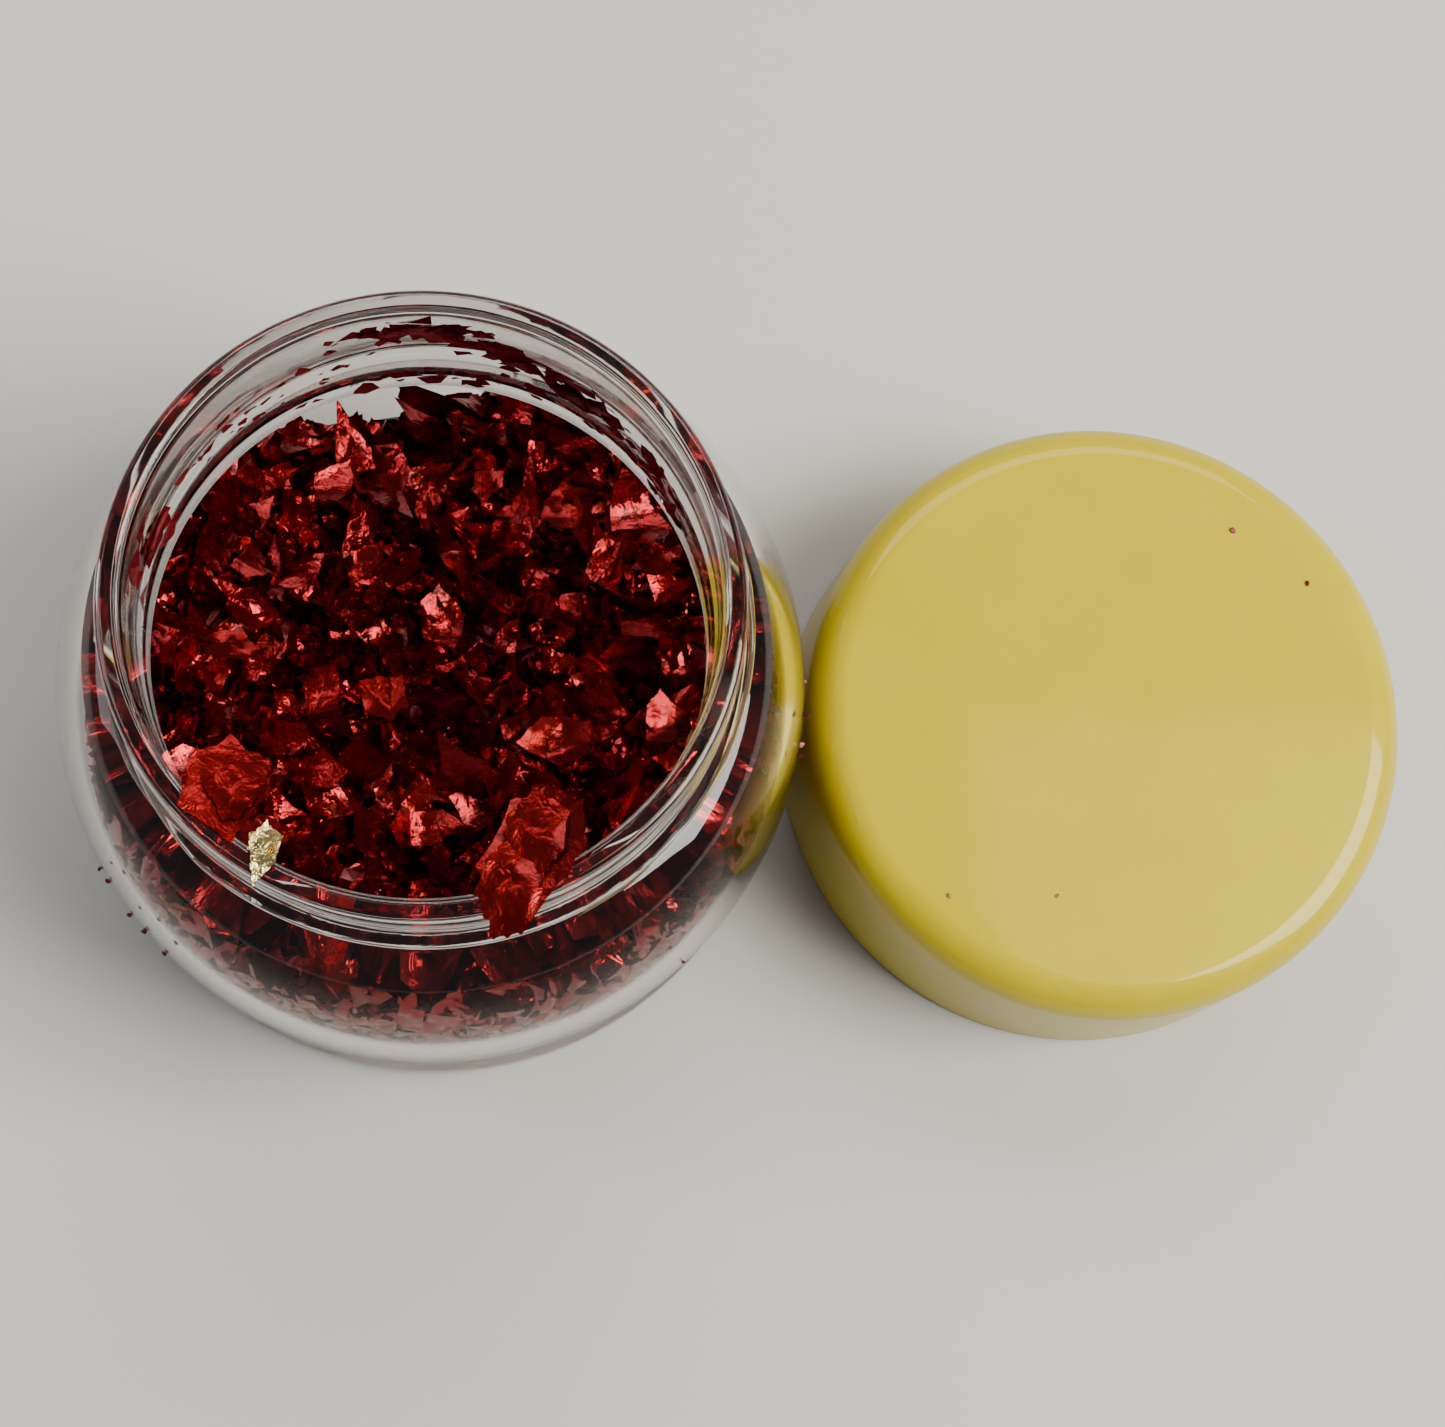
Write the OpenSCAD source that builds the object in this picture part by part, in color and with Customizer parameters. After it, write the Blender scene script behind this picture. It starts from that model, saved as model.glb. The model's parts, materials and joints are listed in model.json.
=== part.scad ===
// Squat clear sample jar with a one-turn screw neck, its screw cap standing
// beside it, and a filling of crumpled metallic foil flakes.
// Origin: centre of the jar's foot. +Z up, the cap stands on the +X side.

/* [Jar] */
// Height from the foot to the rim
jar_h = 30.8; // [26:0.1:38]
// Largest outer radius of the body
body_r = 17.4; // [16.5:0.1:22]
// Height of the widest place of the body
belly_z = 12.4; // [10.5:0.1:15]
// Thickness of the body wall
wall = 0.9; // [0.7:0.1:2]
// Thickness of the floor
floor_t = 3.0; // [2:0.1:4.5]
// How far the foot stands in from the widest place of the body
foot_in = 0.1; // [0:0.1:1]
// Height of the foot band
foot_h = 3.4; // [2.4:0.1:4.2]
// Depth of the waist between foot and body, below the foot's radius
waist_in = 1.2; // [0.3:0.1:1.5]

/* [Neck] */
// Inner radius of the neck
bore_r = 12.1; // [10.5:0.1:12.6]
// Thickness of the neck wall at the thread's root
neck_wall = 1.0; // [0.8:0.1:1.6]
// Height of the neck above the shoulder
neck_h = 8.4; // [7.8:0.1:12]
// How far the thread stands out of the neck
thread_d = 0.7; // [0.4:0.1:1]
// Rise of the thread in one turn
thread_pitch = 4.2; // [3.4:0.1:4.6]
// Number of turns of the neck's thread
thread_turns = 1.1; // [1:0.05:1.2]

/* [Cap] */
// Height of the cap
cap_h = 10.2; // [9.4:0.1:14]
// Thickness of the cap's top
cap_top_t = 1.5; // [1:0.1:2]
// Thickness of the cap's side wall at its lower edge
cap_wall = 1.3; // [1:0.1:2]
// Draft of the side, from the lower edge to the top
cap_draft = 0.4; // [0:0.1:0.6]
// Radius of the rounded top edge
cap_edge_r = 1.9; // [0.8:0.1:2.2]
// Radial gap between the neck's thread and the cap
thread_gap = 0.3; // [0.2:0.05:0.5]
// Thickness of the sealing liner
liner_t = 1.0; // [0.6:0.1:1.4]
// Gap between the jar and the cap that stands beside it
cap_apart = 0.3; // [0.3:0.1:6]

/* [Foil] */
// Height of the heap of flakes at the jar's axis
heap_z = 15; // [11:0.5:17]
// Slope of the heap, falling towards the far side, in degrees
heap_slope = 14; // [0:1:16]
// Gap between the heap and the glass
heap_gap = 0.2; // [0.1:0.05:0.6]
// Thickness of a crumpled flake
foil_t = 0.12; // [0.08:0.01:0.2]
// Clearance that keeps each flake off what it lies on
foil_gap = 0.06; // [0.03:0.01:0.1]

/* [Hidden] */
PILE_NODES = ["pile_flake_01", "pile_flake_02", "pile_flake_03", "pile_flake_04",
              "pile_flake_05", "pile_flake_06", "pile_flake_07", "pile_flake_08",
              "pile_flake_09", "pile_flake_10", "pile_flake_11", "pile_flake_12"];
NECK_NODES = ["neck_flake_01", "neck_flake_02", "neck_flake_03", "neck_flake_04",
              "neck_flake_05", "neck_flake_06", "neck_flake_07", "neck_flake_08"];
$fn = 96;

// Jar outline
root_r = bore_r + neck_wall;
crest_r = root_r + thread_d;
shoulder_z = jar_h - neck_h;
foot_r = body_r - foot_in;
waist_r = foot_r - waist_in;
waist_z = foot_h + 0.9;
cavity_top_z = shoulder_z - neck_wall;
foot_round = 1.0;
rim_round = 0.35;
floor_round = 3.2;
arc_steps = 12;

// Thread section, shared by the neck and the cap
thread_half_root = 1.05;
thread_half_crest = 0.45;
thread_sink = 0.2;
thread_fade = 30;
thread_step = 7.5;
neck_thread_z = jar_h - 1.7 - thread_half_root;

// Cap outline
cap_root_r = crest_r + thread_gap;
cap_crest_r = root_r + thread_gap;
cap_r = cap_root_r + cap_wall;
cap_top_r = cap_r - cap_draft;
cap_depth = cap_h - cap_top_t;
cap_x = body_r + cap_r + cap_apart;
liner_r = cap_root_r - 0.3;
cap_thread_turns = 0.9;
cap_thread_z = 1.4;
edge_round = 0.25;

// Flakes of the heap: place in plan, mean radius, turn and tilt
PILE = [[5.8, -3.0, 2.0, 20, 9], [10.6, -2.2, 1.7, 75, 6], [0.6, -5.6, 1.6, 130, 8],
        [9.5, 3.0, 1.5, 200, 10], [-2.5, -1.0, 1.5, 250, 7], [-4.8, -4.6, 1.4, 310, 9],
        [-8.8, 5.6, 1.6, 40, 6], [-9.6, 1.4, 1.5, 160, 8], [-5.2, 10.0, 1.6, 95, 10],
        [2.3, 10.2, 1.5, 220, 7], [6.0, 8.8, 1.4, 280, 9], [0.2, 3.0, 1.6, 340, 6]];
// Flakes that cling to the neck's wall: angle round the neck, depth below the rim, mean radius
CLING = [[103, 1.3, 0.5], [96, 1.5, 0.8], [86, 1.8, 1.0], [75, 3.0, 1.0],
         [62, 5.0, 1.1], [50, 4.7, 1.1], [38, 4.6, 1.1], [163, 4.4, 1.5]];
// Gap between the jar's body and its crumbs
crumb_gap = 0.02;
// Crumbs on the jar's body: angle round the jar, height, size
JAR_CRUMBS = [[214, 15.4, 0.30], [219, 13.8, 0.24], [223, 15.0, 0.34], [227, 14.2, 0.22],
              [211, 14.4, 0.20], [352, 13.2, 0.26], [356, 14.6, 0.32], [349, 14.9, 0.22],
              [2, 13.4, 0.20], [312, 14.6, 0.22]];
// Crumbs on the cap's top: angle round the cap, distance from its axis, size
CAP_CRUMBS = [[56, 11.4, 0.34], [34, 12.2, 0.26], [228, 12.4, 0.20], [252, 9.6, 0.18]];

// ---------- outlines ----------

// Points of a round corner about [x, y], from angle a to angle b
function arc(x, y, r, a, b, n = arc_steps) =
    [for (i = [0 : n]) [x + r * cos(a + (b - a) * i / n), y + r * sin(a + (b - a) * i / n)]];

// Radius of a shoulder that leaves the belly upright and meets the neck level
function shoulder_r(z, wide_r, narrow_r, top_z) =
    narrow_r + (wide_r - narrow_r) * sqrt(max(0, 1 - pow((z - belly_z) / (top_z - belly_z), 2)));

// Outer radius of the body between waist and shoulder
function body_r_at(z) = z < belly_z
    ? waist_r + (body_r - waist_r) * sin(90 * (z - waist_z) / (belly_z - waist_z))
    : shoulder_r(z, body_r, root_r, shoulder_z);

// Inner radius of the body below the shoulder, a wall inside the outer one
function cavity_r_at(z) = body_r_at(z) - wall;

// Shoulder outline, spaced evenly round its quarter ellipse
function shoulder_points(wide_r, narrow_r, top_z) =
    [for (i = [0 : 16]) let (z = belly_z + (top_z - belly_z) * sin(90 * i / 16))
        [shoulder_r(z, wide_r, narrow_r, top_z), z]];

// Outline of the space inside the jar, kept a gap off the glass
function cavity_points(gap, top) = let (corner_z = floor_t + floor_round) concat(
    [[0, floor_t]],
    arc(cavity_r_at(corner_z) - gap - floor_round, corner_z, floor_round, -90, 0),
    [for (i = [1 : 7]) let (z = corner_z + (belly_z - corner_z) * i / 8) [cavity_r_at(z) - gap, z]],
    shoulder_points(body_r - wall - gap, bore_r - gap, cavity_top_z - gap),
    [[bore_r - gap, top], [0, top]]);

module jar_blank() {
    rotate_extrude()
        polygon(concat(
            [[0, 0]],
            arc(foot_r - foot_round, foot_round, foot_round, -90, 0),
            arc(foot_r - foot_round, foot_h - foot_round, foot_round, 0, 60),
            [for (i = [0 : 8]) let (z = waist_z + (belly_z - waist_z) * i / 8) [body_r_at(z), z]],
            shoulder_points(body_r, root_r, shoulder_z),
            arc(root_r - rim_round, jar_h - rim_round, rim_round, 0, 90, 5),
            [[0, jar_h]]));
}

// One helical ridge on a round wall: side = 1 stands outwards, side = -1 inwards
module thread(wall_r, depth, side, turns, z_start, rise) {
    n = ceil(360 * turns / thread_step);
    function fade(a) = min(1, a / thread_fade, (360 * turns - a) / thread_fade);
    function section(a) = let (d = depth * fade(a), z = z_start + rise * a / 360)
        [[wall_r - side * thread_sink, z - thread_half_root],
         [wall_r + side * max(d, 0.02), z - thread_half_crest],
         [wall_r + side * max(d, 0.02), z + thread_half_crest],
         [wall_r - side * thread_sink, z + thread_half_root]];
    pts = [for (i = [0 : n]) let (a = 360 * turns * i / n)
        for (p = section(a)) [p[0] * cos(a), p[0] * sin(a), p[1]]];
    function face(i, k) = side > 0
        ? [4 * i + k, 4 * i + (k + 1) % 4, 4 * i + 4 + (k + 1) % 4, 4 * i + 4 + k]
        : [4 * i + 4 + k, 4 * i + 4 + (k + 1) % 4, 4 * i + (k + 1) % 4, 4 * i + k];
    ends = side > 0
        ? [[3, 2, 1, 0], [4 * n, 4 * n + 1, 4 * n + 2, 4 * n + 3]]
        : [[0, 1, 2, 3], [4 * n + 3, 4 * n + 2, 4 * n + 1, 4 * n]];
    polyhedron(pts, concat([for (i = [0 : n - 1]) for (k = [0 : 3]) face(i, k)], ends), convexity = 6);
}

// ---------- jar and cap ----------

module jar() {
    color([0.82, 0.85, 0.85, 0.4]) {
        difference() {
            jar_blank();
            rotate_extrude() polygon(cavity_points(0, jar_h + 1));
        }
        rotate([0, 0, 200])
            thread(root_r, thread_d, 1, thread_turns, neck_thread_z, -thread_pitch);
    }
}

module cap_shell() {
    color([0.84, 0.76, 0.33])
        translate([cap_x, 0, 0]) {
            difference() {
                rotate_extrude()
                    polygon(concat(
                        [[0, 0]],
                        arc(cap_r - edge_round, edge_round, edge_round, -90, 0, 4),
                        arc(cap_top_r - cap_edge_r, cap_h - cap_edge_r, cap_edge_r, 0, 90),
                        [[0, cap_h]]));
                translate([0, 0, -1])
                    cylinder(r = cap_root_r, h = cap_depth + 1);
            }
            thread(cap_root_r, cap_root_r - cap_crest_r, -1, cap_thread_turns,
                   cap_thread_z + thread_half_root, thread_pitch);
        }
}

module cap_liner() {
    color([0.93, 0.92, 0.88])
        translate([cap_x, 0, cap_depth - liner_t])
            cylinder(r = liner_r, h = liner_t);
}

// ---------- foil ----------

// Height of the heap's sloping top
function heap_top(y) = heap_z - y * tan(heap_slope);

module foil_heap() {
    color([0.55, 0.05, 0.07])
        intersection() {
            rotate_extrude() polygon(cavity_points(heap_gap, jar_h));
            translate([0, 0, heap_z]) rotate([-heap_slope, 0, 0])
                translate([-2 * body_r, -2 * body_r, -2 * jar_h])
                    cube([4 * body_r, 4 * body_r, 2 * jar_h]);
        }
}

// Torn outline with uneven corners, of mean radius r; k sets its shape
function torn_outline(r, k, corners = 9) =
    [for (i = [0 : corners - 1]) let (a = 360 * i / corners, s = r * (0.86 + 0.14 * sin(k * (i + 1) * 77)))
        [s * cos(a), s * sin(a)]];

// Flat torn flake, its centre at the origin
module flake(r, k, stretch = 1) {
    scaled = [for (p = torn_outline(r, k)) [p[0] * stretch, p[1]]];
    linear_extrude(height = foil_t) polygon(scaled);
}

module pile_flake(i) {
    p = PILE[i];
    lift = foil_gap + p[2] * sin(p[4]);
    color([0.80, 0.10, 0.09])
        translate([p[0], p[1], heap_top(p[1])]) rotate([-heap_slope, 0, 0])
            translate([0, 0, lift]) rotate([0, 0, p[3]]) rotate([p[4], 0, 0])
                flake(p[2], i + 1);
}

module neck_flake(i) {
    c = CLING[i];
    reach = bore_r - foil_gap - foil_t - c[2] * c[2] / bore_r;
    color([0.42, 0.03, 0.08])
        rotate([0, 0, c[0]]) translate([reach, 0, jar_h - c[1]])
            rotate([0, 90, 0]) flake(c[2], i + 3);
}

// Flake that leans on the rim at angle a, its centre at radius r, rising outwards
module rim_flake(a, r, size, stretch, tilt, turn, k) {
    lift = (bore_r - r) * sin(tilt) - size * stretch * 0.02;
    rotate([0, 0, a]) translate([r, 0, jar_h + foil_gap - lift])
        rotate([0, -tilt, 0]) rotate([0, 0, turn]) flake(size, k, stretch);
}

module rim_flake_left() {
    color([0.78, 0.08, 0.08]) rim_flake(226, 11.0, 1.7, 1.2, 9, 60, 2);
}

module rim_flake_gold() {
    color([0.80, 0.68, 0.38]) rim_flake(240, 11.9, 0.72, 1.9, 10, 20, 5);
}

module rim_flake_right() {
    color([0.78, 0.08, 0.08]) rim_flake(294, 11.2, 2.0, 1.75, 12, -50, 7);
}

module crumb(size) {
    translate([-size / 2, -size / 2, 0]) cube([size, size * 0.7, foil_t]);
}

// Crumbs that lie flat on the jar's body
module jar_crumbs() {
    color([0.25, 0.02, 0.03])
        for (c = JAR_CRUMBS) {
            lean = atan((body_r_at(c[1] + crumb_gap) - body_r_at(c[1] - crumb_gap)) / (2 * crumb_gap));
            rotate([0, 0, c[0]]) translate([body_r_at(c[1]), 0, c[1]])
                rotate([0, 90 + lean, 0]) translate([0, 0, crumb_gap]) crumb(c[2]);
        }
}

module cap_crumbs() {
    color([0.25, 0.10, 0.05])
        for (c = CAP_CRUMBS)
            translate([cap_x, 0, 0]) rotate([0, 0, c[0]]) translate([c[1], 0, cap_h])
                crumb(c[2]);
}

jar();
cap_shell();
cap_liner();
foil_heap();
rim_flake_left();
rim_flake_gold();
rim_flake_right();
jar_crumbs();
cap_crumbs();
for (i = [0 : len(PILE_NODES) - 1])
    pile_flake(i);
for (i = [0 : len(NECK_NODES) - 1])
    neck_flake(i);
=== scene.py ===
"""Looks of a squat clear sample jar that is filled with red foil flakes, its yellow cap standing beside it."""

import json
import logging
import math
import random
from dataclasses import dataclass, field
from enum import Enum
from typing import Callable, Iterable, Sequence

import bpy
from mathutils import Euler, Matrix, Vector, noise

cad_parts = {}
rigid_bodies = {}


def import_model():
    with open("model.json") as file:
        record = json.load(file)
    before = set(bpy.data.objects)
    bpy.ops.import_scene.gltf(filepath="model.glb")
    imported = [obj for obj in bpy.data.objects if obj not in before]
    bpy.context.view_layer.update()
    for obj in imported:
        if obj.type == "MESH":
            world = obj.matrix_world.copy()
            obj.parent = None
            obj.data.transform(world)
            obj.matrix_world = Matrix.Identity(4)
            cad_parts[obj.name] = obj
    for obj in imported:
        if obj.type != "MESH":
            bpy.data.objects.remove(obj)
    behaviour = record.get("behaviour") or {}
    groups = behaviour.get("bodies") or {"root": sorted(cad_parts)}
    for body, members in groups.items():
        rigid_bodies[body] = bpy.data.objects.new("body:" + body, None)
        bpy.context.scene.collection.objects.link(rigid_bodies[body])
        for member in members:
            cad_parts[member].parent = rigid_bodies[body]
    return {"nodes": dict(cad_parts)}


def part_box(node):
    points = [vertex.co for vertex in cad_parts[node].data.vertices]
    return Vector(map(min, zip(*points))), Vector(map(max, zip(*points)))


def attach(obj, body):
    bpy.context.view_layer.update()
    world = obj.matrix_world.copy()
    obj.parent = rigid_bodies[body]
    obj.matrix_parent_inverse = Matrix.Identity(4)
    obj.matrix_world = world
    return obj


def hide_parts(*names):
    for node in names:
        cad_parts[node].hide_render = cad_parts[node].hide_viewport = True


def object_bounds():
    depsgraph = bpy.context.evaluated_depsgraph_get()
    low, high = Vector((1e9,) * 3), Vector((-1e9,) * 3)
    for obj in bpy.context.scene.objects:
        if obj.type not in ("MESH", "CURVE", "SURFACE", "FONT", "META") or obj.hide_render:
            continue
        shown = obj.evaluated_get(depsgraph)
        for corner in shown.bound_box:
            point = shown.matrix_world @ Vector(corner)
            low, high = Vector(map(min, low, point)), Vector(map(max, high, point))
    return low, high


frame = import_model()
CAD_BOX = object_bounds()

LOG = logging.getLogger("sample_jar")
MM = 0.001
TONE = "tone"
SLACK = 0.002
THREAD_RUN_IN = 12
Colour = tuple[float, float, float]
Outline = list[tuple[float, float]]


# ---------------------------------------------------------------- mesh helpers


class Body(Enum):
    """Rigid bodies that the pieces ride on."""

    JAR = "jar"
    LINER = "liner"
    CAP = "cap"


def arc(x: float, z: float, radius: float, start: float, end: float, steps: int = 10) -> Outline:
    """Points of a round corner.

    Args:
        x, z: the corner's centre.
        radius: its radius.
        start, end: first and last angle, in degrees.
        steps: number of stretches.

    Returns:
        The points, from start to end.
    """
    angles = [math.radians(start + (end - start) * i / steps) for i in range(steps + 1)]
    return [(x + radius * math.cos(a), z + radius * math.sin(a)) for a in angles]


def spread(points: Outline, longest: float) -> Outline:
    """Adds points to an outline until no stretch is longer than longest.

    Args:
        points: the outline's corners.
        longest: the longest stretch that may stay.

    Returns:
        The outline with the added points.
    """
    made = [points[0]]
    for (r0, z0), (r1, z1) in zip(points, points[1:]):
        count = max(1, math.ceil(math.hypot(r1 - r0, z1 - z0) / longest))
        made += [(r0 + (r1 - r0) * i / count, z0 + (z1 - z0) * i / count) for i in range(1, count + 1)]
    return made


def lathe(name: str, outline: Outline, centre: Vector, segments: int,
          relief: Callable[[float, float, float], float] | None = None) -> bpy.types.Object:
    """Turns an outline, in millimetres, round an upright axis.

    Args:
        name: name of the new object.
        outline: radius and height pairs that start and end on the axis.
        centre: foot of the axis, in metres.
        segments: number of stretches round the axis.
        relief: radius to add for a radius, a height and an angle, such as a screw thread.

    Returns:
        The smooth-shaded object, with its place in its mesh.
    """
    verts: list[Vector] = [centre + Vector((0, 0, outline[0][1] * MM))]
    rings = outline[1:-1]
    for radius, height in rings:
        for i in range(segments):
            angle = math.tau * i / segments
            wide = radius + (relief(radius, height, angle) if relief else 0.0)
            verts.append(centre + Vector((wide * math.cos(angle), wide * math.sin(angle), height)) * MM)
    verts.append(centre + Vector((0, 0, outline[-1][1] * MM)))
    last = len(verts) - 1
    faces: list[tuple[int, ...]] = []
    for i in range(segments):
        j = (i + 1) % segments
        faces.append((0, 1 + j, 1 + i))
        faces.append((last, last - segments + i, last - segments + j))
        for k in range(len(rings) - 1):
            low, high = 1 + k * segments, 1 + (k + 1) * segments
            faces.append((low + i, low + j, high + j, high + i))
    return mesh_object(name, verts, faces, smooth=True)


def mesh_object(name: str, verts: Sequence[Vector], faces: Iterable[tuple[int, ...]],
                smooth: bool = False) -> bpy.types.Object:
    """Makes an object from points and faces and links it to the scene.

    Args:
        name: name of the object.
        verts: its points, in metres.
        faces: its faces, as point numbers.
        smooth: whether it is shaded smooth.

    Returns:
        The object, at the origin.
    """
    mesh = bpy.data.meshes.new(name)
    mesh.from_pydata([tuple(v) for v in verts], [], list(faces))
    mesh.validate()
    mesh.polygons.foreach_set("use_smooth", [smooth] * len(mesh.polygons))
    made = bpy.data.objects.new(name, mesh)
    bpy.context.scene.collection.objects.link(made)
    return made


def dress(piece: bpy.types.Object, material: bpy.types.Material, body: Body,
          nodes: Sequence[str] = ()) -> bpy.types.Object:
    """Gives a piece its finish and ties it to the frame.

    Args:
        piece: the finished piece.
        material: its material.
        body: the body that it rides on.
        nodes: the CAD nodes that it stands for.

    Returns:
        The same piece.
    """
    piece.data.materials.clear()
    piece.data.materials.append(material)
    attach(piece, body.value)
    if nodes:
        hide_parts(*nodes)
    LOG.info("%s: %d faces on body %s", piece.name, len(piece.data.polygons), body.value)
    return piece


# ---------------------------------------------------------------- shader helpers


@dataclass
class Shader:
    """A node tree being built: a material's, or a shader group's."""

    tree: bpy.types.NodeTree

    def node(self, kind: str, **settings: object) -> bpy.types.Node:
        """Adds a node and sets its own settings.

        Args:
            kind: the node's type.
            settings: attributes to set on it.

        Returns:
            The node.
        """
        made = self.tree.nodes.new(kind)
        for key, value in settings.items():
            setattr(made, key, value)
        return made

    def feed(self, target: bpy.types.NodeSocket, value: object) -> None:
        """Links a socket to the target, or sets the target's own value.

        Args:
            target: the socket to feed.
            value: a socket, or a plain value.
        """
        if isinstance(value, bpy.types.NodeSocket):
            self.tree.links.new(value, target)
        elif isinstance(value, tuple) and len(value) == 3 and target.type == "RGBA":
            target.default_value = (*value, 1.0)
        else:
            target.default_value = value

    def sum(self, operation: str, first: object, second: object) -> bpy.types.NodeSocket:
        """Adds a maths node.

        Args:
            operation: the node's operation.
            first, second: values or sockets.

        Returns:
            The result's socket.
        """
        made = self.node("ShaderNodeMath", operation=operation)
        self.feed(made.inputs[0], first)
        self.feed(made.inputs[1], second)
        return made.outputs[0]

    def span(self, value: object, low: float, high: float, to_low: float, to_high: float) -> bpy.types.NodeSocket:
        """Carries a value from one range to another, held at both ends.

        Args:
            value: the value's socket.
            low, high: the first range.
            to_low, to_high: the second range.

        Returns:
            The result's socket.
        """
        made = self.node("ShaderNodeMapRange")
        for socket, number in zip(made.inputs, (value, low, high, to_low, to_high)):
            self.feed(socket, number)
        return made.outputs[0]

    def mix(self, factor: object, first: object, second: object) -> bpy.types.NodeSocket:
        """Mixes two colours.

        Args:
            factor: share of the second colour.
            first, second: the colours.

        Returns:
            The mixed colour's socket.
        """
        made = self.node("ShaderNodeMix", data_type="RGBA")
        self.feed(made.inputs[0], factor)
        self.feed(made.inputs[6], first)
        self.feed(made.inputs[7], second)
        return made.outputs[2]

    def noise(self, where: object, scale: object, detail: float = 2.0, roughness: float = 0.5,
              distortion: float = 0.0) -> bpy.types.NodeSocket:
        """Adds a noise texture.

        Args:
            where: its coordinates.
            scale: its scale.
            detail, roughness, distortion: its other settings.

        Returns:
            The noise value's socket.
        """
        made = self.node("ShaderNodeTexNoise")
        self.feed(made.inputs["Vector"], where)
        self.feed(made.inputs["Scale"], scale)
        made.inputs["Detail"].default_value = detail
        made.inputs["Roughness"].default_value = roughness
        made.inputs["Distortion"].default_value = distortion
        return made.outputs[0]

    def group(self, name: str, **values: object) -> bpy.types.Node:
        """Places a shared shader group and feeds its inputs.

        Args:
            name: the group's name; an underscore in an input's name stands for a space.
            values: the inputs' values or sockets.

        Returns:
            The group node.
        """
        made = self.node("ShaderNodeGroup", node_tree=bpy.data.node_groups[name])
        for key, value in values.items():
            self.feed(made.inputs[key.replace("_", " ")], value)
        return made


def new_group(name: str, inputs: Sequence[tuple[str, str, object]],
              outputs: Sequence[tuple[str, str]]) -> tuple[Shader, bpy.types.Node, bpy.types.Node]:
    """Starts a shader group.

    Args:
        name: the group's name.
        inputs: name, socket type and first value of each input.
        outputs: name and socket type of each output.

    Returns:
        The group's builder, its input node and its output node.
    """
    tree = bpy.data.node_groups.new(name, "ShaderNodeTree")
    for label, kind, value in inputs:
        socket = tree.interface.new_socket(name=label, in_out="INPUT", socket_type=kind)
        if value is not None:
            socket.default_value = value
    for label, kind in outputs:
        tree.interface.new_socket(name=label, in_out="OUTPUT", socket_type=kind)
    shader = Shader(tree)
    return shader, shader.node("NodeGroupInput"), shader.node("NodeGroupOutput")


def build_wrinkle_group() -> None:
    """Crumpled foil: sharp creases between small flat fields, with fine waves in them."""
    shader, given, result = new_group(
        "foil_wrinkle",
        [("Vector", "NodeSocketVector", None), ("Scale", "NodeSocketFloat", 900.0)],
        [("Height", "NodeSocketFloat"), ("Shade", "NodeSocketFloat"), ("Glint", "NodeSocketFloat")])
    where, scale = given.outputs["Vector"], given.outputs["Scale"]
    creases = shader.node("ShaderNodeTexVoronoi", feature="F1", distance="MANHATTAN")
    shader.feed(creases.inputs["Vector"], where)
    shader.feed(creases.inputs["Scale"], scale)
    waves = shader.noise(where, shader.sum("MULTIPLY", scale, 2.4), 3.0, 0.6, 0.8)
    slow = shader.noise(where, shader.sum("MULTIPLY", scale, 0.35), 2.0)
    height = shader.sum("ADD", shader.sum("MULTIPLY", creases.outputs["Distance"], 0.8), waves)
    spots = shader.noise(where, shader.sum("MULTIPLY", scale, 1.3), 2.0, 0.5)
    shader.feed(result.inputs["Height"], height)
    shader.feed(result.inputs["Shade"], shader.span(slow, 0.3, 0.7, 0.0, 1.0))
    shader.feed(result.inputs["Glint"], shader.span(spots, 0.56, 0.66, 0.0, 1.0))


def build_moulded_group() -> None:
    """Moulded skin: a soft orange peel, with a few small pits."""
    shader, given, result = new_group(
        "moulded_skin",
        [("Vector", "NodeSocketVector", None), ("Scale", "NodeSocketFloat", 700.0),
         ("Pits", "NodeSocketFloat", 0.2)],
        [("Height", "NodeSocketFloat"), ("Wear", "NodeSocketFloat")])
    where, scale = given.outputs["Vector"], given.outputs["Scale"]
    peel = shader.noise(where, scale, 2.0, 0.5)
    slow = shader.noise(where, shader.sum("MULTIPLY", scale, 0.15), 3.0, 0.55)
    pit = shader.node("ShaderNodeTexVoronoi", feature="F1")
    shader.feed(pit.inputs["Vector"], where)
    shader.feed(pit.inputs["Scale"], shader.sum("MULTIPLY", scale, 0.6))
    dip = shader.span(pit.outputs["Distance"], 0.0, 0.16, 1.0, 0.0)
    height = shader.sum("SUBTRACT", peel, shader.sum("MULTIPLY", dip, given.outputs["Pits"]))
    shader.feed(result.inputs["Height"], height)
    shader.feed(result.inputs["Wear"], shader.span(slow, 0.35, 0.68, 0.0, 1.0))


@dataclass(frozen=True)
class Finish:
    """What every finish has: a name, and the sockets that it sets."""

    name: str

    def start(self) -> tuple[Shader, bpy.types.Node, bpy.types.NodeSocket, bpy.types.Material]:
        """Starts the material.

        Returns:
            Its builder, its Principled node, its object coordinates and the material.
        """
        material = bpy.data.materials.new(self.name)
        material.use_nodes = True
        shader = Shader(material.node_tree)
        surface = material.node_tree.nodes["Principled BSDF"]
        where = shader.node("ShaderNodeTexCoord").outputs["Object"]
        return shader, surface, where, material

    @staticmethod
    def bump(shader: Shader, surface: bpy.types.Node, height: bpy.types.NodeSocket, strength: float,
             distance: float) -> None:
        """Feeds a height to the surface's normal.

        Args:
            shader: the material's builder.
            surface: its Principled node.
            height: the height's socket.
            strength, distance: the bump's settings.
        """
        made = shader.node("ShaderNodeBump")
        made.inputs["Strength"].default_value = strength
        made.inputs["Distance"].default_value = distance
        shader.feed(made.inputs["Height"], height)
        shader.feed(surface.inputs["Normal"], made.outputs["Normal"])


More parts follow.
